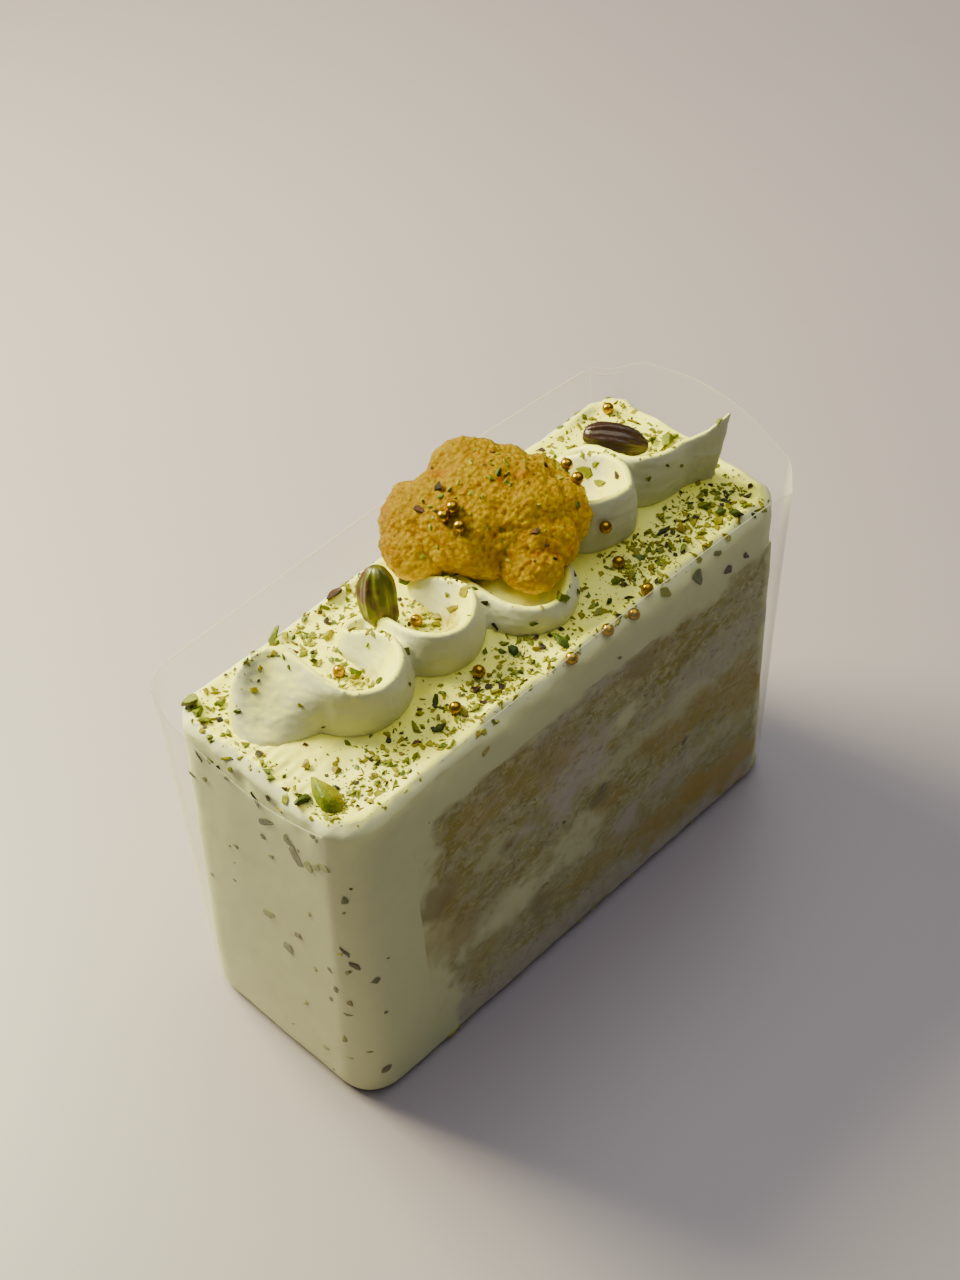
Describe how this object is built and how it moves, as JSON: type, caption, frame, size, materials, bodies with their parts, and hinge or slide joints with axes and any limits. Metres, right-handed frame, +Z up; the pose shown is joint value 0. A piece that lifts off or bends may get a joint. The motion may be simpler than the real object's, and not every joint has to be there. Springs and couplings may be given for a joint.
{
  "type": "rasmalai pastry",
  "caption": "Tall cream pastry slice of milk-soaked sponge layers with a piped cream wave, a torn piece of rasmalai and nuts on top, in a clear film band.",
  "frame": {"origin": "middle of the slice's foot, on the flat underside", "axes": "+X along the slice, away from its thickly coated front end; +Z up; the cut long side shown in the picture faces -Y"},
  "size_m": [0.1307, 0.0531, 0.1012],
  "materials": {
    "soaked_sponge": "soft moist crumb",
    "saffron_filling": "moist grainy filling",
    "cream": "smooth satin whipped cream",
    "sponge": "open moist crumb",
    "piped_cream": "smooth satin piped cream",
    "rasmalai": "grainy moist curd",
    "pistachio": "satin nut kernel",
    "pistachio_skin": "satin nut skin",
    "clear_film": "clear glossy plastic film"
  },
  "bodies": {
    "root": {"sponge_base": "soaked_sponge", "saffron_filling": "saffron_filling", "cream_lower": "cream", "sponge_lower": "sponge", "cream_middle": "cream", "sponge_upper": "sponge", "cream_coat": "cream", "piped_wave": "piped_cream", "rasmalai_chunk": "rasmalai", "pistachio_whole": "pistachio", "pistachio_dark": "pistachio_skin", "pistachio_half": "pistachio", "clear_film": "clear_film"}
  },
  "joints": []
}
